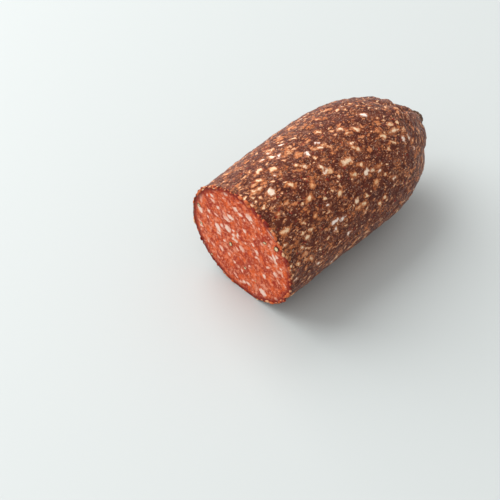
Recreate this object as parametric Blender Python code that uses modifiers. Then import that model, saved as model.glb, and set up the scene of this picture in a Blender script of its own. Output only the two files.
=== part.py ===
"""Half a dry-cured salami: a log cut across at one end and gathered shut at the other.

It lies along +X on a narrow flat that its own weight has pressed into its underside.
The cut end faces -X, the gathered end +X, and the origin is below the middle of the log.
"""

import bmesh
import bpy
import numpy as np

# Driving sizes, in metres.
CUT_RADIUS = 0.045  # of the cut end: the log is 90 mm across there
LENGTH = 0.174  # from the middle of the cut face to where the end is gathered
SHOULDER = 0.098  # from the cut face to where the log starts to close
TAPER = 0.058  # how much thinner the log is at its far end, as a share of its radius
BELLY = 0.035  # how much it swells halfway along, as a share of its radius
END_FULLNESS = 2.27  # how long the closing end stays full, as a power
END_POINT = 1.6  # 2 gives a round tip, 1 a pointed one
FOOT_PRESS = 0.001  # how deep the underside is pressed flat

CUT_LEAN = 0.0545  # the cut's top edge leans out, as a slope
CUT_TURN = 0.0319  # the cut's +Y edge is set back, as a slope
STOCK = 0.006  # extra length that the cut takes off

BEND_BACK = -0.0012  # sideways drift of the centre line at its far end
END_SIDE = -0.0008  # sideways drift of the closing end
END_RISE = 0.0028  # how far the gathered knot lifts above the centre line
RISE_LENGTH = 0.022

KNOT_RADIUS = 0.0068
KNOT_HALF_LENGTH = 0.0046
KNOT_CENTRE = 0.0010  # past LENGTH
KNOT_START = -0.55  # the angle on the knot where it leaves the end, in radians

PLEATS = 11
PLEAT_DEPTH = 0.0032
PLEAT_START = 0.050  # the pleats run this far back from the knot
PLEAT_FULL = 0.020
KNOT_PLEAT = 0.35  # pleat depth left on the knot, as a share
TWIST = 0.5  # turn of the pleats about the axis along their length, in radians

SIDES = 80
BODY_RINGS = 13
END_RINGS = 30
KNOT_RINGS = 8


def smooth_step(x, start, end):
    """0 before start, 1 after end, with level ends."""
    t = np.clip((x - start) / (end - start), 0, 1)
    return t * t * (3 - 2 * t)


def closing(s):
    """How far along the closing end s is, from 0 to 1."""
    return np.clip((s - SHOULDER) / (LENGTH - SHOULDER), 0, 1)


def body_radius(s):
    """The log's radius before its end closes: a slight taper and a slight belly."""
    along = np.clip(s / LENGTH, 0, 1)
    return CUT_RADIUS * (1 - TAPER * along + BELLY * np.sin(np.pi * along))


def log_profile():
    """(s, radius) along the log: straight stations, then the closing end, then the knot."""
    body = np.linspace(STOCK, SHOULDER, BODY_RINGS)
    angle = np.linspace(0, np.pi / 2, END_RINGS + 2)[1:-1]
    end = SHOULDER + (LENGTH - SHOULDER) * np.sin(angle)
    s = np.concatenate([[-STOCK], body, end])
    radius = body_radius(s) * (1 - closing(s) ** END_FULLNESS) ** (1 / END_POINT)

    angle = np.linspace(KNOT_START, np.pi / 2, KNOT_RINGS)
    knot_s = LENGTH + KNOT_CENTRE + KNOT_HALF_LENGTH * np.sin(angle)
    knot_radius = KNOT_RADIUS * np.cos(angle)
    knot_radius[-1] = 0
    keep = s < knot_s[0] - 0.0003
    s = np.concatenate([s[keep], knot_s])
    return s, np.concatenate([radius[keep], knot_radius])


def turned(name, s, radius):
    """A mesh turned about Z from a profile that runs down its outer side, top to bottom."""
    outline = bpy.data.meshes.new(name + "_outline")
    points = [(r, 0, z) for z, r in zip(s[::-1], radius[::-1])]
    outline.from_pydata(points, [(i, i + 1) for i in range(len(points) - 1)], [])
    turning = bpy.data.objects.new(name + "_outline", outline)
    bpy.context.scene.collection.objects.link(turning)
    screw = turning.modifiers.new("turn", "SCREW")
    screw.steps = SIDES
    screw.render_steps = SIDES
    screw.use_merge_vertices = True
    screw.merge_threshold = 0.00001
    graph = bpy.context.evaluated_depsgraph_get()
    mesh = bpy.data.meshes.new_from_object(turning.evaluated_get(graph))
    mesh.name = name
    bpy.data.objects.remove(turning)
    return mesh


def swelling(s, angle):
    """Slow unevenness of a hand-filled casing, in metres."""
    slow = np.sin(2 * angle + s / 0.031 + 0.4)
    cross = np.sin(3 * angle - s / 0.019 + 1.9)
    quick = np.sin(5 * angle + s / 0.013 + 2.6) * np.sin(s / 0.023 + 0.7)
    clear_of_foot = smooth_step(np.cos(angle), -0.97, -0.8)
    return clear_of_foot * (0.0004 * slow + 0.0003 * cross + 0.0002 * quick)


def pleat(s, angle):
    """Depth of the gathered pleats: sharp grooves between round ridges, uneven in width."""
    back = LENGTH - s
    turn = angle + TWIST * np.clip(back / PLEAT_START, 0, 1)
    wave = PLEATS * turn / 2 + 0.4 * np.sin(2 * turn + 0.6) + 0.25 * np.sin(3 * turn - 1) + 0.55
    groove = 1 - np.abs(np.sin(wave))
    uneven = 0.7 + 0.3 * np.sin(4 * turn + 1.3)
    reach = 1 - smooth_step(back, PLEAT_FULL, PLEAT_START)
    held = 1 - (1 - KNOT_PLEAT) * smooth_step(s, LENGTH - 0.006, LENGTH)
    return PLEAT_DEPTH * groove * uneven * reach * held


def lay_down(mesh):
    """Turns the log from standing on Z to lying along X, and gives it its uneven form."""
    co = np.empty(len(mesh.vertices) * 3)
    mesh.vertices.foreach_get("co", co)
    co = co.reshape(-1, 3)
    s = co[:, 2]
    radius = np.hypot(co[:, 0], co[:, 1])
    angle = np.arctan2(co[:, 1], co[:, 0])

    size = np.clip(radius / 0.012, 0, 1)
    radius = radius + size * (swelling(s, angle) - pleat(s, angle))
    u = closing(s)
    side = BEND_BACK * (s / LENGTH) ** 2 + END_SIDE * u**2
    rise = END_RISE * smooth_step(s, LENGTH - RISE_LENGTH, LENGTH)
    height = body_radius(s) - FOOT_PRESS + rise
    x = s
    y = side - radius * np.sin(angle)
    z = np.maximum(height + radius * np.cos(angle), 0)
    mesh.vertices.foreach_set("co", np.column_stack([x, y, z]).ravel())
    mesh.update()


def cut_across(mesh):
    """Slices the spare length off and closes the cut with one flat face."""
    shape = bmesh.new()
    shape.from_mesh(mesh)
    everything = shape.verts[:] + shape.edges[:] + shape.faces[:]
    bmesh.ops.bisect_plane(
        shape,
        geom=everything,
        plane_co=(0, 0, CUT_RADIUS - FOOT_PRESS),
        plane_no=(1, -CUT_TURN, CUT_LEAN),
        clear_inner=True,
    )
    rim = [edge for edge in shape.edges if edge.is_boundary]
    bmesh.ops.holes_fill(shape, edges=rim)
    bmesh.ops.recalc_face_normals(shape, faces=shape.faces[:])
    shape.to_mesh(mesh)
    shape.free()


def centre_over_origin(mesh):
    """Slides the log so that the middle of its box is above the origin."""
    co = np.empty(len(mesh.vertices) * 3)
    mesh.vertices.foreach_get("co", co)
    co = co.reshape(-1, 3)
    middle = (co.min(axis=0) + co.max(axis=0)) / 2
    middle[2] = 0
    mesh.vertices.foreach_set("co", (co - middle).ravel())
    mesh.update()


def rind():
    """The dried outside of the sausage: dark brown, with a dull sheen."""
    material = bpy.data.materials.new("cured_rind")
    material.use_nodes = True
    shader = material.node_tree.nodes["Principled BSDF"]
    shader.inputs["Base Color"].default_value = (0.16, 0.055, 0.035, 1)
    shader.inputs["Roughness"].default_value = 0.45
    shader.inputs["Metallic"].default_value = 0
    return material


def salami_log(collection):
    """One solid: the meat and its casing have dried into one piece."""
    s, radius = log_profile()
    mesh = turned("salami_log", s, radius)
    lay_down(mesh)
    cut_across(mesh)
    centre_over_origin(mesh)
    mesh.shade_smooth()
    mesh.set_sharp_from_angle(angle=0.7)
    mesh.materials.clear()
    mesh.materials.append(rind())
    log = bpy.data.objects.new("salami_log", mesh)
    collection.objects.link(log)


for old in list(bpy.data.objects):
    bpy.data.objects.remove(old)
sausage = bpy.data.collections.new("cured_sausage")
bpy.context.scene.collection.children.link(sausage)
salami_log(sausage)
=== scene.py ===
import math

import bpy
import numpy as np
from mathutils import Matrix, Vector


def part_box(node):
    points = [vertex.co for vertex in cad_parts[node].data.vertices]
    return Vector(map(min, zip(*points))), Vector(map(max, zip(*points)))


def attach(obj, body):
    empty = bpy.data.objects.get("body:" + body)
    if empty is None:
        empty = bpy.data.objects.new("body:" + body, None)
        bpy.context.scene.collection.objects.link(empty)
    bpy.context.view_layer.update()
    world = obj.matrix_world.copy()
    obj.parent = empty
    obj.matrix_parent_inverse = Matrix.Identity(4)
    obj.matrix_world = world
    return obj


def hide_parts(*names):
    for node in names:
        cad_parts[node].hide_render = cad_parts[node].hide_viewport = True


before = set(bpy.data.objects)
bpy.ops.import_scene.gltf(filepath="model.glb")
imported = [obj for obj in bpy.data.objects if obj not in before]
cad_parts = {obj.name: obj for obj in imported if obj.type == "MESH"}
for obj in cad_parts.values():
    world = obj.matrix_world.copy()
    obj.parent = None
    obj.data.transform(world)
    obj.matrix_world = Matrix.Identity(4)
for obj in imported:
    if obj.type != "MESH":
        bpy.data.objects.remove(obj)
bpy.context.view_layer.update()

# ---------------------------------------------------------------------------------------------
# The rind. A casing has dried tight onto coarse mince, so fat grains show through it as pale
# flecks on dark brown meat. It was filled, twisted shut at one end, hung, and later cut across.

LOG_LOW, LOG_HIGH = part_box("salami_log")
CUT_RADIUS = 0.045
CUT_LEAN = 0.0545  # the cut's top edge leans out, as a slope
CUT_TURN = 0.0319  # its +Y edge is set back, as a slope
KNOT_RADIUS = 0.0068
KNOT_HALF_LENGTH = 0.0046
KNOT_CENTRE = 0.0010  # past the gathered end
KNOT_START = -0.55  # where its arc starts, in radians from its widest ring
KNOT_DRIED = 0.0045  # how far back from the knot the casing has dried to grey
CUT_X = LOG_LOW.x + CUT_RADIUS * math.hypot(CUT_LEAN, CUT_TURN)
LENGTH = LOG_HIGH.x - CUT_X - KNOT_CENTRE - KNOT_HALF_LENGTH
SHOULDER = 0.098  # where the log starts to close
TAPER = 0.058
BELLY = 0.035
END_FULLNESS = 2.27
END_POINT = 1.6
FOOT_PRESS = 0.001  # how deep its own weight presses the underside flat
BEND_BACK = -0.0012
END_SIDE = -0.0008
END_RISE = 0.0028  # how far the knot lifts above the centre line
RISE_LENGTH = 0.022
PLEATS = 11
PLEAT_DEPTH = 0.0032
PLEAT_START = 0.050
PLEAT_FULL = 0.020
KNOT_PLEAT = 0.35
TWIST = 0.5
FOLD_TOP = 0.149  # how far along the log the deep fold crosses its top
FOLD_SLANT = 0.0002  # how far back it runs for each degree towards -Y
FOLD_CURVE = 0.004  # and how much further at 30 degrees from the top, growing with the square
FOLD_LIP, FOLD_LIP_WIDTH = 0.0012, 0.008
FOLD_DROP, FOLD_DROP_WIDTH = 0.0026, 0.011
LARGE_DIMPLE, LARGE_DIMPLE_DEPTH = 0.0065, 0.00034
SMALL_DIMPLE, SMALL_DIMPLE_DEPTH = 0.0026, 0.00040
WRINKLE, WRINKLE_DEPTH = 0.0019, 0.00034
WRINKLE_STRETCH = 0.16  # wrinkles run along the log, so they vary slowly that way
AROUND = 400  # grid columns round the log
BODY_ROWS = 118
END_ROWS = 86
KNOT_ROWS = 12


def smooth_step(x, start, end):
    """0 before start, 1 after end, with level ends."""
    t = np.clip((x - start) / (end - start), 0, 1)
    return t * t * (3 - 2 * t)


def random_at(cells, seed):
    """A number from 0 to 1 for each whole-number cell: its three numbers are mixed into one."""
    h = cells.astype(np.int64).astype(np.uint64)
    mixed = h[..., 0] * np.uint64(73856093)
    mixed ^= h[..., 1] * np.uint64(19349663)
    mixed ^= h[..., 2] * np.uint64(83492791)
    mixed ^= np.uint64(seed * 2654435761)
    for shift in (33, 29, 32):
        mixed ^= mixed >> np.uint64(shift)
        mixed *= np.uint64(0xFF51AFD7ED558CCD)
    return (mixed >> np.uint64(40)).astype(float) / 2**24


def unevenness(points, size, seed):
    """Soft lumps, from -1 to 1: random values on a lattice of this size, blended between them."""
    place = points / size
    cell = np.floor(place)
    blend = place - cell
    blend = blend * blend * (3 - 2 * blend)
    total = 0
    for corner in np.ndindex(2, 2, 2):
        weight = np.prod(np.where(corner, blend, 1 - blend), axis=-1)
        total = total + weight * random_at(cell + np.array(corner), seed)
    return 2 * total - 1


def closing(s):
    """How far along the closing end s is, from 0 to 1."""
    return np.clip((s - SHOULDER) / (LENGTH - SHOULDER), 0, 1)


def body_radius(s):
    """The log's radius before its end closes: a slight taper and a slight belly."""
    along = np.clip(s / LENGTH, 0, 1)
    return CUT_RADIUS * (1 - TAPER * along + BELLY * np.sin(np.pi * along))


def swelling(s, angle):
    """Slow unevenness of a hand-filled casing: three waves round and along it, none at the foot."""
    slow = np.sin(2 * angle + s / 0.031 + 0.4)
    cross = np.sin(3 * angle - s / 0.019 + 1.9)
    quick = np.sin(5 * angle + s / 0.013 + 2.6) * np.sin(s / 0.023 + 0.7)
    clear_of_foot = smooth_step(np.cos(angle), -0.97, -0.8)
    return clear_of_foot * (0.0004 * slow + 0.0003 * cross + 0.0002 * quick)


def pleat(s, angle):
    """Depth of the gathered pleats: sharp grooves between round ridges, uneven in width."""
    back = LENGTH - s
    turn = angle + TWIST * np.clip(back / PLEAT_START, 0, 1)
    wave = PLEATS * turn / 2 + 0.4 * np.sin(2 * turn + 0.6) + 0.25 * np.sin(3 * turn - 1) + 0.55
    groove = 1 - np.abs(np.sin(wave))
    uneven = 0.7 + 0.3 * np.sin(4 * turn + 1.3)
    reach = 1 - smooth_step(back, PLEAT_FULL, PLEAT_START)
    held = 1 - (1 - KNOT_PLEAT) * smooth_step(s, LENGTH - 0.006, LENGTH)
    return PLEAT_DEPTH * groove * uneven * reach * held


def fold(s, angle):
    """The gathered end's one deep fold, in metres out from the log: casing rises to a lip and drops
    past it, on a line that runs across the top and back down the -Y side."""
    way = np.degrees((angle + np.pi) % (2 * np.pi) - np.pi)
    past = s - (FOLD_TOP - FOLD_SLANT * way - FOLD_CURVE * (way / 30) ** 2)
    lip = FOLD_LIP * np.exp(-((past / FOLD_LIP_WIDTH) ** 2))
    drop = FOLD_DROP * np.exp(-((past / FOLD_DROP_WIDTH) ** 2))
    behind = smooth_step(past, -0.001, 0.001)
    reach = smooth_step(way, -75, -40) * (1 - smooth_step(way, 26, 48))
    return reach * (lip * (1 - behind) - drop * behind)


def rind_profile():
    """(s, radius) down the log's side: even steps along the body, then steps by angle round the
    end and the knot."""
    body = np.linspace(0, SHOULDER, BODY_ROWS)
    angle = np.linspace(0, np.pi / 2, END_ROWS + 2)[1:-1]
    s = np.concatenate([body, SHOULDER + (LENGTH - SHOULDER) * np.sin(angle)])
    radius = body_radius(s) * (1 - closing(s) ** END_FULLNESS) ** (1 / END_POINT)
    angle = np.linspace(KNOT_START, np.pi / 2, KNOT_ROWS)[:-1]
    knot_s = LENGTH + KNOT_CENTRE + KNOT_HALF_LENGTH * np.sin(angle)
    keep = s < knot_s[0] - 0.0003
    s = np.concatenate([s[keep], knot_s])
    return s, np.concatenate([radius[keep], KNOT_RADIUS * np.cos(angle)])


def rind_surface(s, radius, angle):
    """Points of the rind. A point sits at its radius round a centre line that rises or falls with
    the log's thickness, so that the underside stays level, and the lowest are pressed flat."""
    round_log = np.stack(
        np.broadcast_arrays(s, radius * np.sin(angle), radius * np.cos(angle)), axis=-1
    )
    size = np.clip(radius / 0.012, 0, 1)
    back = LENGTH - s
    dimples = LARGE_DIMPLE_DEPTH * unevenness(round_log, LARGE_DIMPLE, 1)
    dimples = dimples + SMALL_DIMPLE_DEPTH * unevenness(round_log, SMALL_DIMPLE, 2)
    stretched = round_log * np.array([WRINKLE_STRETCH, 1, 1])
    dried = 0.35 + 0.65 * smooth_step(-back, -0.085, -0.02)
    wrinkles = WRINKLE_DEPTH * dried * unevenness(stretched, WRINKLE, 3)
    gathers = fold(s, angle) - pleat(s, angle)
    radius = radius + size * (swelling(s, angle) + gathers + dimples + wrinkles)
    side = BEND_BACK * (s / LENGTH) ** 2 + END_SIDE * closing(s) ** 2
    rise = END_RISE * smooth_step(s, LENGTH - RISE_LENGTH, LENGTH)
    height = body_radius(s) - FOOT_PRESS + rise
    y = side - radius * np.sin(angle)
    z = np.maximum(height + radius * np.cos(angle), 0)
    lean = CUT_TURN * y - CUT_LEAN * (z - CUT_RADIUS + FOOT_PRESS)
    x = s + lean * (1 - smooth_step(s, 0, 0.03))
    return np.stack([x, y, z], axis=-1)


def grid_faces(rows, columns):
    """Quads between neighbouring rows of a grid whose columns close into a ring, facing outwards
    when the rows run along +X and the columns run with the angle."""
    a = np.arange(rows - 1)[:, None] * columns + np.arange(columns)[None, :]
    b = np.arange(rows - 1)[:, None] * columns + (np.arange(columns)[None, :] + 1) % columns
    return np.stack([a, b, b + columns, a + columns], axis=-1).reshape(-1, 4)


def mesh_of(name, points, quads, triangles=None, **attributes):
    """A mesh object at the origin from arrays of points, quads and triangles, with a number or a
    vector stored at each point for each named attribute."""
    mesh = bpy.data.meshes.new(name)
    triangles = np.empty((0, 3), int) if triangles is None else triangles
    corners = np.concatenate([quads.ravel(), triangles.ravel()])
    quad_starts = np.arange(len(quads)) * 4
    triangle_starts = len(quads) * 4 + np.arange(len(triangles)) * 3
    starts = np.concatenate([quad_starts, triangle_starts])
    mesh.vertices.add(len(points))
    mesh.vertices.foreach_set("co", points.ravel())
    mesh.loops.add(len(corners))
    mesh.loops.foreach_set("vertex_index", corners)
    mesh.polygons.add(len(starts))
    mesh.polygons.foreach_set("loop_start", starts)
    for key, values in attributes.items():
        kind = "FLOAT_VECTOR" if values.ndim == 2 else "FLOAT"
        layer = mesh.attributes.new(key, kind, "POINT")
        layer.data.foreach_set("vector" if values.ndim == 2 else "value", values.ravel())
    mesh.update(calc_edges=True)
    mesh.validate()
    mesh.shade_smooth()
    piece = bpy.data.objects.new(name, mesh)
    bpy.context.scene.collection.objects.link(piece)
    return piece


NO_GRAIN = -0.004  # the depth that stands for no large grain nearby


def grain_field(across, up, grains):
    """How deep each point lies inside the nearest of a few large fat grains, in metres, and below 0
    outside, with that grain's clearness. Each grain is a blunt lens: its middle, half length, half
    width, tilt in degrees, and clearness from 0, a soft orange stain, to 1, firm white fat."""
    deepest = np.full(np.broadcast(across, up).shape, NO_GRAIN)
    clearness = np.zeros(deepest.shape)
    for middle_across, middle_up, long, wide, tilt, clear in grains:
        tilt = math.radians(tilt)
        a, b = across - middle_across, up - middle_up
        along = (a * math.cos(tilt) + b * math.sin(tilt)) / long
        aside = (b * math.cos(tilt) - a * math.sin(tilt)) / wide
        reach = (np.abs(along) ** 2.2 + np.abs(aside) ** 2.2) ** (1 / 2.2)
        depth = wide * (1 - reach)
        clearness = np.where(depth > deepest, clear, clearness)
        deepest = np.maximum(deepest, depth)
    return deepest, clearness


def closed_piece(name, outline, start, end, **attributes):
    """A closed mesh from a grid whose columns ring the log, with a point closing each end. Each
    attribute comes as (values on the grid, value at the start point, value at the end point)."""
    rows, columns = outline.shape[:2]
    first = np.arange(columns)
    last = (rows - 1) * columns + first
    start_fan = np.stack([np.roll(first, -1), first, np.full(columns, rows * columns)], axis=-1)
    end_fan = np.stack([last, np.roll(last, -1), np.full(columns, rows * columns + 1)], axis=-1)
    values = {}
    for key, (grid, at_start, at_end) in attributes.items():
        flat = grid.reshape(rows * columns, -1).squeeze()
        values[key] = np.concatenate([flat, np.array([at_start, at_end])])
    return mesh_of(
        name,
        np.concatenate([outline.reshape(-1, 3), start[None], end[None]]),
        grid_faces(rows, columns),
        np.concatenate([start_fan, end_fan]),
        **values,
    )


s, radius = rind_profile()
angle = np.linspace(0, 2 * np.pi, AROUND, endpoint=False)
round_way = np.degrees((angle + np.pi) % (2 * np.pi) - np.pi)

# The largest grains on the side that shows: (place along the log, degrees from the top towards -Y,
# half length, half width, tilt, clearness), then some more at random all round.
MARKS = [
    (0.047, 15, 0.0022, 0.0016, 50, 0.7), (0.055, 23, 0.0021, 0.0016, 55, 0.7),
    (0.056, 28, 0.0025, 0.0014, 5, 0.8), (0.073, 31, 0.0048, 0.0020, 10, 0.7),
    (0.081, 40, 0.0026, 0.0014, 30, 0.5), (0.082, 48, 0.0036, 0.0018, -40, 0.8),
    (0.041, 30, 0.0022, 0.0013, -55, 0.3), (0.029, 20, 0.0022, 0.0014, 70, 0.5),
    (0.033, 37, 0.0029, 0.0018, -10, 0.5), (0.016, 15, 0.0027, 0.0023, -70, 0.8),
    (0.043, 51, 0.0024, 0.0011, 0, 1.0), (0.055, 48, 0.0026, 0.0016, -20, 0.5),
    (0.065, 63, 0.0020, 0.0017, -25, 0.7), (0.070, 69, 0.0031, 0.0014, 10, 0.5),
    (0.030, 51, 0.0019, 0.0011, -30, 0.3), (0.008, 47, 0.0026, 0.0011, -20, 0.5),
    (0.019, 62, 0.0023, 0.0012, 25, 0.7), (0.003, 55, 0.0018, 0.0013, 30, 0.7),
    (0.073, 103, 0.0022, 0.0015, -5, 0.5), (0.054, 86, 0.0020, 0.0015, -40, 0.9),
    (0.044, 66, 0.0046, 0.0014, -2, 1.0), (0.050, 68, 0.0036, 0.0013, 8, 1.0),
    (0.042, 73, 0.0024, 0.0013, -60, 0.9), (0.112, 6, 0.0029, 0.0020, 30, 1.0),
    (0.122, 33, 0.0050, 0.0011, 7, 0.7), (0.125, 44, 0.0030, 0.0014, -80, 0.9),
    (0.131, 46, 0.0026, 0.0012, 85, 0.8), (0.097, 13, 0.0032, 0.0016, 45, 0.6),
    (0.089, 5, 0.0022, 0.0013, 15, 0.7), (0.087, 28, 0.0034, 0.0013, 45, 0.5),
    (0.092, 54, 0.0019, 0.0013, 30, 0.8), (0.101, 67, 0.0024, 0.0011, 15, 0.8),
    (0.024, -8, 0.0028, 0.0015, -25, 0.7), (0.030, -1, 0.0024, 0.0020, 35, 0.5),
    (0.017, 0, 0.0026, 0.0015, 25, 0.5), (0.052, -18, 0.0021, 0.0014, 45, 0.9),
    (0.068, 3, 0.0016, 0.0009, 25, 1.0), (0.048, -5, 0.0032, 0.0009, -5, 0.6),
]
chance = np.random.default_rng(7)
for _ in range(90):
    place_on = (chance.uniform(0.004, 0.150), chance.uniform(-180, 180))
    half, slim = chance.uniform(0.0012, 0.0026), chance.uniform(0.45, 0.8)
    tilt, clear = chance.uniform(-60, 90), chance.uniform(0.2, 1.0)
    MARKS.append((*place_on, half, half * slim, tilt, clear))
marks = [(a, CUT_RADIUS * math.radians(b), *shape) for a, b, *shape in MARKS]
mark_depth, mark_clear = grain_field(s[:, None], CUT_RADIUS * np.radians(round_way)[None, :], marks)

skin = rind_surface(s[:, None], radius[:, None], angle[None, :])
middle_line = skin.mean(axis=1, keepdims=True)
outward = skin - middle_line
outward /= np.linalg.norm(outward, axis=-1, keepdims=True)
MARK_LIFT = 0.00018  # a large grain stands this far out under the dried casing
TORN_REACH = 0.0012  # the knife left the casing's edge torn this far back
skin += (MARK_LIFT * smooth_step(mark_depth, -0.0003, 0.0006))[..., None] * outward
torn = np.exp(-s / TORN_REACH)[:, None] * (
    0.00026 * unevenness(skin, 0.0024, 21) + 0.00016 * unevenness(skin, 0.0011, 22)
)
skin += torn[..., None] * outward
skin[..., 2] = np.maximum(skin[..., 2], 0)
SLIDE_Y = (LOG_LOW.y + LOG_HIGH.y) / 2 - (skin[..., 1].min() + skin[..., 1].max()) / 2
skin += np.array([CUT_X, SLIDE_Y, 0])

CASING = 0.0005  # the dried skin's thickness, seen at the cut
SOCKET = 0.0012  # the meat piece sits this deep in the rind
CUT_NORMAL = np.array([-1, CUT_TURN, -CUT_LEAN]) / math.sqrt(1 + CUT_TURN**2 + CUT_LEAN**2)
cut_middle = skin[0].mean(axis=0)
inner_edge = cut_middle + (skin[0] - cut_middle) * (1 - CASING / CUT_RADIUS)
socket_edge = inner_edge - SOCKET * CUT_NORMAL
outline = np.concatenate([socket_edge[None], inner_edge[None], skin])
tip = skin[-1].mean(axis=0) + np.array([KNOT_HALF_LENGTH * 0.02, 0, 0])

# Where the mince lies for the material: the grains stay nearly full size as the end closes, and
# they are dragged round with its twist.
MINCE_TWIST = 0.9
spread = (CUT_RADIUS**0.45 * np.maximum(radius, 0.004) ** 0.55)[:, None]
dragged = angle[None, :] + MINCE_TWIST * smooth_step(s, LENGTH - 0.045, LENGTH)[:, None]
mince = np.stack(
    np.broadcast_arrays(s[:, None], spread * np.sin(dragged), spread * np.cos(dragged)), axis=-1
)
mince = np.concatenate([mince[:1], mince[:1], mince])
mark_depth = np.concatenate([mark_depth[:1] * 0 + NO_GRAIN, mark_depth[:1], mark_depth])
mark_clear = np.concatenate([mark_clear[:1], mark_clear[:1], mark_clear])
rind = closed_piece(
    "rind",
    outline,
    cut_middle - SOCKET * CUT_NORMAL,
    tip,
    mince=(mince, mince[0].mean(axis=0), mince[-1].mean(axis=0)),
    mark=(mark_depth, NO_GRAIN, NO_GRAIN),
    clear=(mark_clear, 0.0, 0.0),
)


class Finish:
    """A material's nodes. Each method adds a node and gives back its output, for the next to use."""

    def __init__(self, name):
        self.material = bpy.data.materials.new(name)
        self.material.use_nodes = True
        self.nodes = self.material.node_tree.nodes
        self.links = self.material.node_tree.links
        self.shader = self.nodes["Principled BSDF"]

    def put(self, socket, value):
        """Links an output to a socket, or writes a plain value on it."""
        if isinstance(value, bpy.types.NodeSocket):
            self.links.new(value, socket)
        elif isinstance(value, tuple) and len(value) == 3 and socket.type == "RGBA":
            socket.default_value = (*value, 1)
        else:
            socket.default_value = value

    def add(self, kind, output, inputs, **settings):
        node = self.nodes.new("ShaderNode" + kind)
        for key, value in settings.items():
            setattr(node, key, value)
        for key, value in inputs.items():
            self.put(node.inputs[key], value)
        return node.outputs[output]

    def math(self, operation, a, b=0.0, c=0.0):
        return self.add("Math", 0, {0: a, 1: b, 2: c}, operation=operation)

    def vector(self, operation, a, b):
        return self.add("VectorMath", 0, {0: a, 1: b}, operation=operation)

    def attribute(self, name, output="Vector"):
        return self.add("Attribute", output, {}, attribute_name=name)

    def object_place(self):
        return self.add("TexCoord", "Object", {})

    def noise(self, place, size, detail=2.0, output="Fac"):
        return self.add("TexNoise", output, {"Vector": place, "Scale": 1 / size, "Detail": detail})

    def grit(self, place, size):
        """A flat random value from 0 to 1 in each cell of this size."""
        chance = self.add("TexVoronoi", "Color", {"Vector": place, "Scale": 1 / size})
        return self.add("SeparateColor", 0, {0: chance})

    def ramp(self, value, start, end, low=0.0, high=1.0):
        """low up to start, high past end, with soft ends."""
        taken = {"Value": value, "From Min": start, "From Max": end}
        sockets = {**taken, "To Min": low, "To Max": high}
        return self.add("MapRange", 0, sockets, interpolation_type="SMOOTHSTEP")

    def mix(self, share, a, b):
        sockets = {0: share, 6: a, 7: b}
        return self.add("Mix", 2, sockets, data_type="RGBA")

    def warp(self, place, size, amount):
        """place pushed about by a soft noise, so that straight cell edges turn ragged."""
        push = self.vector("SUBTRACT", self.noise(place, size, 1.0, "Color"), (0.5, 0.5, 0.5))
        return self.vector("ADD", place, self.vector("MULTIPLY", push, (amount, amount, amount)))

    def cells(self, place, size, share, wall):
        """How deep a point lies inside a grain, in metres, below 0 outside. Space is split into
        random cells of this size. A share of the cells are grains, each drawn in from its cell's
        edge by a margin and up to wall more, chosen by the cell's own random colour. Also gives
        that colour's blue, to vary one grain from the next."""
        margin = 0.16  # of a cell, kept round every grain for the stain that it leaves
        sockets = {"Vector": place, "Scale": 1 / size}
        chance = self.add("TexVoronoi", "Color", sockets, feature="F1")
        edge = self.add("TexVoronoi", "Distance", sockets, feature="DISTANCE_TO_EDGE")
        red = self.add("SeparateColor", 0, {0: chance})
        green = self.add("SeparateColor", 1, {0: chance})
        drawn_in = self.math("MULTIPLY_ADD", green, wall, margin)
        depth = self.math("SUBTRACT", edge, drawn_in)
        grain = self.math("LESS_THAN", red, share)
        depth = self.math("MULTIPLY_ADD", grain, self.math("ADD", depth, 0.5), -0.5)
        return self.math("MULTIPLY", depth, size), self.add("SeparateColor", 2, {0: chance})


def linear(red, green, blue):
    """A colour seen on a screen, from 0 to 255, as the light that a shader needs."""
    c = np.array([red, green, blue]) / 255
    return tuple(float(v) for v in np.where(c <= 0.04045, c / 12.92, ((c + 0.055) / 1.055) ** 2.4))


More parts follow.
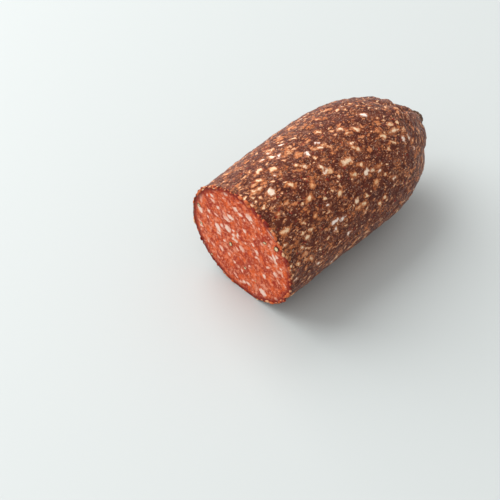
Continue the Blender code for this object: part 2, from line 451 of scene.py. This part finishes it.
def rind_finish():
    """Dark brown meat under dried casing. Fat near the casing shows as cream flecks, deeper fat as
    orange stains and wisps round them, and here and there a spot of lean meat has stayed red."""
    f = Finish("dried_rind")
    mince = f.attribute("mince")
    place = f.vector("MULTIPLY", mince, (0.72, 1, 1))  # grains lie a little longer along the log
    place = f.warp(f.warp(place, 0.0040, 0.0030), 0.0013, 0.0008)

    slow = f.noise(mince, 0.0045, 4.0)
    colour = f.mix(f.ramp(slow, 0.36, 0.66), linear(81, 33, 21), linear(103, 48, 31))
    crowd = f.noise(mince, 0.0090, 3.0)
    grit = f.grit(place, 0.0008)
    # The pale grey grit dots are partly the casing's own fine specks and partly painted glints off
    # its small bumps.
    colour = f.mix(f.ramp(grit, 0.74, 1.0, 0.0, 0.6), colour, linear(168, 118, 92))
    colour = f.mix(f.ramp(grit, 0.26, 0.0, 0.0, 0.6), colour, linear(60, 24, 16))

    orange = f.mix(f.noise(mince, 0.0012, 3.0), linear(166, 78, 36), linear(220, 138, 82))
    # Sparse near-white dots are painted glints: tiny highlights off the casing's small bumps,
    # painted into its colour.
    painted_glint = f.ramp(f.grit(mince, 0.0006), 0.955, 1.0, 0.0, 0.55)
    colour = f.mix(painted_glint, colour, linear(206, 176, 154))
    web = f.noise(place, 0.0016, 5.0)
    patch = f.math("MULTIPLY_ADD", crowd, 0.7, web)
    colour = f.mix(f.ramp(patch, 0.98, 1.09, 0.0, 0.85), colour, orange)
    away = f.math("ABSOLUTE", f.math("SUBTRACT", web, 0.5))
    wisp = f.math("MULTIPLY", f.ramp(away, 0.0, 0.022, 0.35, 0.0), f.ramp(crowd, 0.50, 0.62))
    colour = f.mix(wisp, colour, linear(228, 160, 108))
    lean = f.noise(mince, 0.0026, 3.0)
    colour = f.mix(f.ramp(lean, 0.64, 0.71, 0.0, 0.8), colour, linear(144, 34, 24))

    cream = f.mix(f.noise(mince, 0.003, 2.0), linear(236, 193, 140), linear(244, 221, 192))
    ragged = f.math("SUBTRACT", f.noise(mince, 0.0012, 4.0), 0.5)
    raised = 0.0
    layers = ((0.0012, 0.18, 0.7), (0.0019, 0.22, 0.9), (0.0031, 0.32, 1.0), (0.0046, 0.16, 1.0))
    for size, share, shown in layers:
        depth, vague = f.cells(place, size, share, 0.20)
        depth = f.math("MULTIPLY_ADD", ragged, 0.6 * size, depth)
        halo = f.ramp(depth, -0.12 * size, 0.04 * size, 0.0, 0.9 * shown)
        colour = f.mix(halo, colour, orange)
        core = f.ramp(depth, 0.0, 0.20 * size)
        core = f.math("MULTIPLY", core, f.ramp(vague, 0.80, 0.45, 0.15, shown))
        colour = f.mix(core, colour, cream)
        raised = f.math("MULTIPLY_ADD", halo, size / 0.006, raised)
    uneven = f.math("SUBTRACT", f.noise(mince, 0.0021, 3.0), 0.5)
    mark = f.math("MULTIPLY_ADD", uneven, 0.0044, f.attribute("mark", "Fac"))
    clear = f.attribute("clear", "Fac")
    halo = f.ramp(mark, -0.0011, 0.0003)
    colour = f.mix(f.math("MULTIPLY", halo, f.ramp(clear, 0.4, 1.0, 0.9, 0.4)), colour, orange)
    white = f.mix(f.ramp(clear, 0.2, 0.55), linear(238, 172, 116), cream)
    # The clearest grains go near-white with a faint blue tint: firm fat, and partly a painted
    # highlight on shiny fat.
    white = f.mix(f.ramp(clear, 0.6, 1.0), white, linear(250, 232, 220))
    core = f.math("MULTIPLY", f.ramp(mark, -0.0001, 0.0011), f.ramp(clear, 0.0, 0.6, 0.6, 1.0))
    colour = f.mix(core, colour, white)
    along = f.add("SeparateXYZ", 0, {"Vector": mince})
    dried = f.ramp(along, LENGTH - KNOT_DRIED, LENGTH, 0.0, 0.75)
    colour = f.mix(dried, colour, f.mix(grit, linear(44, 36, 30), linear(104, 88, 72)))
    f.put(f.shader.inputs["Base Color"], colour)
    gloss = f.noise(mince, 0.007, 3.0)
    f.put(f.shader.inputs["Roughness"], f.ramp(gloss, 0.3, 0.7, 0.42, 0.6))
    f.shader.inputs["Specular IOR Level"].default_value = 0.12
    f.shader.inputs["Sheen Weight"].default_value = 0.08
    f.shader.inputs["Sheen Roughness"].default_value = 0.4
    height = f.math("MULTIPLY_ADD", f.noise(mince, 0.0013, 4.0), 1.4, raised)
    bump = f.add("Bump", 0, {"Height": height, "Strength": 0.8, "Distance": 0.0004})
    f.put(f.shader.inputs["Normal"], bump)
    return f.material


rind.data.materials.append(rind_finish())
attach(rind, "root")
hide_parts("salami_log")

# ---------------------------------------------------------------------------------------------
# The cut face. Coarse red mince and firm white fat, sliced through by one stroke of a knife.

FACE_ROWS = 110
FACE_DOME = 0.0004
FACE_EDGE = 0.0010  # how far its side wall runs back into the rind

# The largest fat grains in the cut, from its middle: (towards +Y, up, half length, half width,
# tilt).
FAT = [
    (0.0121, 0.0169, 0.0034, 0.0020, 10), (0.0206, 0.0023, 0.0040, 0.0023, 60),
    (0.0110, 0.0081, 0.0032, 0.0028, 35), (-0.0090, 0.0330, 0.0034, 0.0025, 30),
    (-0.0008, -0.0018, 0.0028, 0.0021, 50), (-0.0290, 0.0310, 0.0052, 0.0014, 35),
    (-0.0187, -0.0314, 0.0034, 0.0026, 20), (-0.0311, -0.0284, 0.0022, 0.0015, 0),
    (-0.0309, 0.0098, 0.0058, 0.0013, 70), (0.0372, 0.0075, 0.0036, 0.0020, 60),
    (-0.0207, -0.0135, 0.0020, 0.0014, 70), (-0.0054, -0.0330, 0.0024, 0.0014, 10),
    (0.0078, 0.0209, 0.0030, 0.0018, 0), (0.0240, 0.0250, 0.0020, 0.0014, 20),
]
FAT_REACH = 0.041  # more grains at random, up to this far from the middle
fat_chance = np.random.default_rng(11)
for _ in range(60):
    away, way = FAT_REACH * math.sqrt(fat_chance.uniform()), fat_chance.uniform(0, 2 * math.pi)
    half = fat_chance.uniform(0.0009, 0.0024)
    shape = (half, half * fat_chance.uniform(0.45, 0.9), fat_chance.uniform(-60, 90))
    FAT.append((away * math.cos(way), away * math.sin(way), *shape))


def face_surface(rim, share):
    """The flat cut as rings, each a share of the rim's distance from the middle, and how far each
    point is raised from it: a slight dome with two sizes of soft lumps, none at the rim."""
    flat = cut_middle + share[:, None, None] * (rim[None] - cut_middle)
    inside = 1 - share[:, None] ** 6
    lift = FACE_DOME * inside + inside * (
        0.00010 * unevenness(flat, 0.009, 11) + 0.00007 * unevenness(flat, 0.0028, 12)
    )
    return flat, lift


share = np.linspace(1, 0, FACE_ROWS + 1)[:-1]
meat_rim = cut_middle + (skin[0] - cut_middle) * (1 - CASING * 1.04 / CUT_RADIUS)
flat, lift = face_surface(meat_rim, share)
FAT_LIFT = 0.00008  # firm fat stands this far out of the cut
from_middle = flat - cut_middle
fat_depth, _ = grain_field(from_middle[..., 1], from_middle[..., 2], [(*grain, 1) for grain in FAT])
lift += FAT_LIFT * smooth_step(fat_depth, -0.0002, 0.0005)
face = flat + lift[..., None] * CUT_NORMAL
rim_distance = np.linalg.norm(flat - meat_rim[None], axis=-1)
side_wall = meat_rim - FACE_EDGE * CUT_NORMAL
cut_face = closed_piece(
    "cut_face",
    np.concatenate([face[::-1], side_wall[None]]),
    face[-1].mean(axis=0),
    cut_middle - FACE_EDGE * CUT_NORMAL,
    rim=(np.concatenate([rim_distance[::-1], rim_distance[:1]]), CUT_RADIUS, 0.0),
    fat=(np.concatenate([fat_depth[::-1], fat_depth[:1]]), float(fat_depth[-1].mean()), -0.002),
)
cut_face.data.set_sharp_from_angle(angle=1.0)


def cut_finish():
    """Orange-red mince with fine pink specks, partly fat and partly painted wet glints, and a few
    large cream grains of fat, darker and drier in a ring under the casing, which shows as a thin
    brown line."""
    f = Finish("cut_meat")
    plain = f.object_place()
    place = f.warp(f.warp(plain, 0.004, 0.0020), 0.0011, 0.0008)
    shred = f.noise(place, 0.0040, 6.0)
    colour = f.mix(f.ramp(shred, 0.36, 0.62), linear(167, 48, 24), linear(222, 94, 41))
    chunk = f.noise(place, 0.0100, 4.0)
    colour = f.mix(f.ramp(chunk, 0.52, 0.64, 0.0, 0.75), colour, linear(156, 40, 26))
    # Fine pink specks are partly fine fat and partly painted wet glints; the dark red specks are the
    # meat's own.
    for size, bright in ((0.0007, 0.5), (0.0013, 0.6)):
        grit = f.grit(place, size)
        colour = f.mix(f.ramp(grit, 0.72, 1.0, 0.0, bright), colour, linear(236, 150, 112))
        colour = f.mix(f.ramp(grit, 0.28, 0.0, 0.0, 0.5), colour, linear(150, 34, 18))

    cream = f.mix(f.noise(plain, 0.003, 2.0), linear(224, 150, 124), linear(236, 192, 172))
    soft = linear(220, 132, 100)
    ragged = f.math("SUBTRACT", f.noise(plain, 0.0014, 4.0), 0.5)
    raised = 0.0
    layers = ((0.0014, 0.22, 0.7), (0.0022, 0.24, 0.85), (0.0035, 0.22, 0.9), (0.0052, 0.15, 0.9))
    for size, share, shown in layers:
        depth, vague = f.cells(place, size, share, 0.22)
        depth = f.math("MULTIPLY_ADD", ragged, 0.7 * size, depth)
        edge = f.ramp(depth, -0.08 * size, 0.05 * size, 0.0, 0.8 * shown)
        colour = f.mix(edge, colour, soft)
        sharp = f.math("MULTIPLY_ADD", vague, 0.6 * size, 0.05 * size)
        colour = f.mix(f.ramp(depth, 0.0, sharp, 0.0, 0.9 * shown), colour, cream)
        raised = f.math("MULTIPLY_ADD", edge, size / 0.006, raised)
    fat = f.math("MULTIPLY_ADD", ragged, 0.0032, f.attribute("fat", "Fac"))
    colour = f.mix(f.ramp(fat, -0.0004, 0.0001), colour, soft)
    firm = f.ramp(f.noise(plain, 0.006, 1.0), 0.36, 0.56, 0.4, 1.0)
    firm = f.math("MULTIPLY", f.ramp(fat, -0.0001, 0.0007), firm)
    colour = f.mix(firm, colour, linear(236, 202, 186))
    rim = f.math("ADD", f.attribute("rim", "Fac"), 0.0015)
    rough_rim = f.math("MULTIPLY_ADD", f.noise(plain, 0.0024, 3.0), -0.0030, rim)
    ring = f.ramp(rough_rim, 0.0012, 0.0050, 0.9, 0.0)
    colour = f.mix(ring, colour, linear(128, 30, 22))
    skin_line = f.ramp(rough_rim, 0.0002, 0.0006, 1.0, 0.0)
    colour = f.mix(skin_line, colour, linear(84, 34, 22))
    f.put(f.shader.inputs["Base Color"], colour)
    gloss = f.noise(plain, 0.006, 3.0)
    f.put(f.shader.inputs["Roughness"], f.ramp(gloss, 0.3, 0.7, 0.36, 0.52))
    f.shader.inputs["Specular IOR Level"].default_value = 0.07
    f.shader.inputs["Subsurface Weight"].default_value = 0.12
    f.shader.inputs["Subsurface Scale"].default_value = 0.0015
    f.shader.inputs["Subsurface Radius"].default_value = (1.0, 0.35, 0.2)
    height = f.math("MULTIPLY_ADD", f.noise(plain, 0.002, 2.0), 0.4, raised)
    bump = f.add("Bump", 0, {"Height": height, "Strength": 0.3, "Distance": 0.0001})
    f.put(f.shader.inputs["Normal"], bump)
    return f.material


cut_face.data.materials.append(cut_finish())
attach(cut_face, "root")

# ---------------------------------------------------------------------------------------------
# The cracked pepper: peppercorns sliced through with the meat, each a dark hull round a pale
# kernel, and a few coarse bits pressed into the rind, most of them near its gathered end.

# (towards +Y, up, radius, how round from 0 to 1, tilt in degrees), from the middle of the cut
SLICED = [
    (-0.0328, 0.0215, 0.0023, 0.80, 40), (0.0094, -0.0052, 0.0019, 0.75, 70),
    (-0.0226, 0.0196, 0.0014, 0.80, 20), (0.0380, 0.0108, 0.0015, 0.80, 0),
    (0.0372, -0.0058, 0.0013, 0.75, 30), (-0.0030, -0.0192, 0.0012, 0.85, 10),
    (0.0296, -0.0306, 0.00100, 0.80, 60), (-0.0120, -0.0250, 0.00060, 0.85, 0),
    (0.0170, 0.0290, 0.00055, 0.80, 50), (0.0030, 0.0110, 0.00050, 0.80, 0),
]
# (place along the log, degrees from the top towards -Y, radius, how round, tilt)
PRESSED = [
    (0.1315, 20, 0.0010, 0.8, 0), (0.1350, 27, 0.0012, 0.7, 40), (0.1400, 40, 0.0008, 0.8, 20),
    (0.1290, 34, 0.0007, 0.7, 60), (0.1210, 78, 0.0009, 0.8, 10), (0.1120, -38, 0.0009, 0.8, 70),
    (0.0620, 95, 0.0009, 0.7, 30), (0.0880, -80, 0.0010, 0.8, 0), (0.0450, -120, 0.0009, 0.7, 50),
    (0.1050, 150, 0.0008, 0.8, 20), (0.1300, -140, 0.0010, 0.8, 0),
]
# Half a corn's section, as shares of its radius: from the axis, out from the meat, then hull share.
CORN_SECTION = [
    (0.30, 0.10, 0), (0.60, 0.12, 0), (0.74, 0.10, 0), (0.78, 0.16, 1), (0.88, 0.24, 1),
    (0.97, 0.16, 1), (1.00, 0.00, 1), (0.90, -0.30, 1), (0.50, -0.50, 1),
]
DOME_SECTION = [
    (0.25, 0.42, 1), (0.50, 0.38, 1), (0.74, 0.28, 1), (0.92, 0.12, 1), (1.00, -0.05, 1),
    (0.90, -0.30, 1), (0.50, -0.50, 1),
]
CORN_SIDES = 20


def corn(place, out, across, size, roundness, tilt, section, seed):
    """One bit of pepper: a section turned about the outward direction, squashed one way and notched
    unevenly round. Gives its points, ring by ring, then its two end points, with the hull share."""
    along = np.cross(out, across)
    turn = np.linspace(0, 2 * np.pi, CORN_SIDES, endpoint=False)
    uneven = 1 + 0.10 * np.sin(2 * turn + seed) + 0.07 * np.sin(5 * turn + 2.3 * seed)
    radial, height, hull = np.array(section, float).T
    a = radial[:, None] * uneven * np.cos(turn)
    b = radial[:, None] * uneven * np.sin(turn) * roundness
    tilt = math.radians(tilt)
    a, b = a * math.cos(tilt) - b * math.sin(tilt), a * math.sin(tilt) + b * math.cos(tilt)
    ring = a[..., None] * across + b[..., None] * along + height[:, None, None] * out
    ends = np.array([section[0][1] * out, section[-1][1] * out])
    points = place + size * np.concatenate([ring.reshape(-1, 3), ends])
    return points, np.concatenate([np.repeat(hull, CORN_SIDES), [hull[0], hull[-1]]])


def joined_rings(name, bits, sides, attribute):
    """One mesh of many closed bits, each made of rings with this many sides and a point at each
    end. The rings run inwards from the outermost, so the grid's faces are turned round."""
    quads, triangles, start = [], [], 0
    for points, _ in bits:
        rings = (len(points) - 2) // sides
        quads.append(start + grid_faces(rings, sides)[:, ::-1])
        first = np.arange(sides)
        last = (rings - 1) * sides + first
        top, bottom = rings * sides, rings * sides + 1
        start_fan = np.stack([np.roll(first, -1), first, np.full(sides, top)], axis=-1)
        end_fan = np.stack([last, np.roll(last, -1), np.full(sides, bottom)], axis=-1)
        triangles.append(start + np.concatenate([start_fan, end_fan])[:, ::-1])
        start += len(points)
    values = {attribute: np.concatenate([value for _, value in bits])}
    points = np.concatenate([points for points, _ in bits])
    return mesh_of(name, points, np.concatenate(quads), np.concatenate(triangles), **values)


def on_rind(place_along, degrees):
    """The rind's point and outward direction there, from its grid."""
    row = int(np.argmin(np.abs(s - place_along)))
    column = int(np.argmin(np.abs(round_way - degrees)))
    return skin[row, column], outward[row, column]


cut_across = np.cross([0, 0, 1], CUT_NORMAL)
cut_across /= np.linalg.norm(cut_across)
cut_up = np.cross(CUT_NORMAL, cut_across)
corns = []
for number, (across, up, size, roundness, tilt) in enumerate(SLICED):
    away = math.hypot(across, up) / CUT_RADIUS
    place = cut_middle - across * cut_across + up * cut_up + FACE_DOME * (1 - away**6) * CUT_NORMAL
    corns.append(corn(place, CUT_NORMAL, cut_across, size, roundness, tilt, CORN_SECTION, number))
for number, (place_along, degrees, size, roundness, tilt) in enumerate(PRESSED):
    place, out = on_rind(place_along, degrees)
    sideways = np.cross(out, [1, 0, 0])
    sideways /= np.linalg.norm(sideways)
    corns.append(corn(place, out, sideways, size, roundness, tilt, DOME_SECTION, number + 20))
pepper = joined_rings("cracked_pepper", corns, CORN_SIDES, "hull")


def pepper_finish():
    """A dark brown-green wrinkled hull and a pale, faintly yellow kernel."""
    f = Finish("cracked_pepper")
    grain = f.noise(f.object_place(), 0.0005, 3.0)
    kernel = f.mix(grain, linear(214, 182, 130), linear(244, 222, 182))
    hull = f.mix(grain, linear(38, 28, 20), linear(86, 66, 44))
    f.put(f.shader.inputs["Base Color"], f.mix(f.attribute("hull", "Fac"), kernel, hull))
    f.shader.inputs["Roughness"].default_value = 0.6
    f.shader.inputs["Specular IOR Level"].default_value = 0.2
    return f.material


pepper.data.materials.append(pepper_finish())
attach(pepper, "root")

# ---------------------------------------------------------------------------------------------
# The rim crumbs: bits of fat and dried meat that the knife dragged out along the edge of the cut.

CRUMBS = 360
CRUMB_SMALLEST, CRUMB_SPREAD = 0.00026, 0.00090
CRUMB_SIDES = 9
# Half a crumb's section, as shares of its size from its axis and out from the rim.
CRUMB_SECTION = [(0.55, 0.62), (0.92, 0.25), (1.00, -0.10), (0.70, -0.55)]
CRUMB_TOP, CRUMB_BOTTOM = 0.75, -0.65
CRUMB_CLEARANCE = 0.0001  # no crumb comes nearer to the table than this


def crumb(chance):
    """One crumb: a knobbly lump, longer one way, sunk in the rim and leaning out of the cut. They
    lie thickest near the top and the -Y side. Gives its points, with its own tone at each."""
    degrees = (chance.normal(40, 85) + 180) % 360 - 180
    column = int(np.argmin(np.abs(round_way - degrees)))
    out = outward[0, column]
    size = CRUMB_SMALLEST + CRUMB_SPREAD * chance.uniform() ** 3
    place = skin[0, column] - out * chance.uniform(-0.0001, 0.0012)
    place = place + CUT_NORMAL * chance.uniform(-0.0001, 0.0002)
    out = out * chance.uniform(0.2, 1.0) + CUT_NORMAL * chance.uniform(0.3, 1.0)
    out /= np.linalg.norm(out)
    sideways = np.cross(out, [1, 0, 0.01])
    sideways /= np.linalg.norm(sideways)
    along = np.cross(out, sideways)
    turn = np.linspace(0, 2 * np.pi, CRUMB_SIDES, endpoint=False)
    long = chance.uniform(1.0, 2.5)
    knobs = 1 + chance.uniform(-0.4, 0.4, (len(CRUMB_SECTION), CRUMB_SIDES))
    radial, height = np.array(CRUMB_SECTION).T
    ring = (radial[:, None] * knobs * np.cos(turn) * long)[..., None] * sideways
    ring = ring + (radial[:, None] * knobs * np.sin(turn))[..., None] * along
    ring = ring + height[:, None, None] * out
    ends = np.array([CRUMB_TOP * out, CRUMB_BOTTOM * out])
    points = place + size * np.concatenate([ring.reshape(-1, 3), ends])
    return points, np.full(len(points), chance.uniform())


crumb_chance = np.random.default_rng(5)
crumbs = [crumb(crumb_chance) for _ in range(CRUMBS)]
crumbs = [(points, tone) for points, tone in crumbs if points[:, 2].min() > CRUMB_CLEARANCE]
rim_crumbs = joined_rings("rim_crumbs", crumbs, CRUMB_SIDES, "tone")


def crumb_finish():
    """Each crumb its own tone, from dark red meat through orange to tan fat."""
    f = Finish("rim_crumbs")
    tone = f.attribute("tone", "Fac")
    colour = f.mix(f.ramp(tone, 0.25, 0.6), linear(126, 34, 22), linear(206, 104, 56))
    colour = f.mix(f.ramp(tone, 0.75, 1.0), colour, linear(226, 180, 138))
    f.put(f.shader.inputs["Base Color"], colour)
    f.shader.inputs["Roughness"].default_value = 0.55
    f.shader.inputs["Specular IOR Level"].default_value = 0.2
    return f.material


rim_crumbs.data.materials.append(crumb_finish())
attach(rim_crumbs, "root")

# ---------------------------------------------------------------------------------------------
# The table top and the light: a plain pale surface under a large soft window from the back left,
# with a faint fill from the front left.

VIEW_HEADING = math.radians(43.5)  # the camera looks this way round from +X
VIEW_DOWN = math.radians(45.6)
VIEW_DISTANCE = 0.9181
AIM = Vector((CUT_X + 0.0330, SLIDE_Y + 0.0234, -FOOT_PRESS))
LENS = 96.3  # millimetres, on a 36 mm sensor
AHEAD = Vector((math.cos(VIEW_HEADING), math.sin(VIEW_HEADING), 0))
LEFT = Vector((-AHEAD.y, AHEAD.x, 0))
UP = Vector((0, 0, 1))

bpy.ops.mesh.primitive_plane_add(size=8)
table = bpy.context.object
table.name = "table_top"
f = Finish("pale_table")
f.shader.inputs["Base Color"].default_value = (*linear(194, 199, 198), 1)
f.shader.inputs["Roughness"].default_value = 0.6
table.data.materials.append(f.material)


def soft_lamp(name, place, aim, width, strength):
    """A square soft lamp at place, facing aim."""
    lamp = bpy.data.lights.new(name, "AREA")
    lamp.size = width
    lamp.energy = strength
    holder = bpy.data.objects.new(name, lamp)
    holder.location = place
    holder.rotation_euler = (aim - place).to_track_quat("-Z", "Y").to_euler()
    bpy.context.scene.collection.objects.link(holder)


def from_side(turn, rise, distance):
    """A place round the log: turned from the camera's left towards straight ahead, and raised, both
    in degrees."""
    turn, rise = math.radians(turn), math.radians(rise)
    level = LEFT * math.cos(turn) + AHEAD * math.sin(turn)
    return centre + distance * (level * math.cos(rise) + UP * math.sin(rise))


centre = Vector((0, 0, CUT_RADIUS))
soft_lamp("window", from_side(34, 42, 2.4), centre, 2.8, 84)
soft_lamp("front_fill", from_side(-45, 35, 2.0), centre, 1.5, 4)

world = bpy.data.worlds.new("studio")
world.use_nodes = True
world.node_tree.nodes["Background"].inputs["Color"].default_value = (1, 1, 1, 1)
world.node_tree.nodes["Background"].inputs["Strength"].default_value = 0.70
bpy.context.scene.world = world
bpy.context.scene.view_settings.view_transform = "Standard"

camera = bpy.data.objects.new("camera", bpy.data.cameras.new("camera"))
forward = AHEAD * math.cos(VIEW_DOWN) - UP * math.sin(VIEW_DOWN)
camera.location = AIM - forward * VIEW_DISTANCE
camera.rotation_euler = forward.to_track_quat("-Z", "Y").to_euler()
camera.data.lens = LENS
camera.data.sensor_width = 36
bpy.context.scene.collection.objects.link(camera)
bpy.context.scene.camera = camera


def corners(box):
    """A box's two corners as plain lists of numbers."""
    return [[float(v) for v in corner] for corner in box]
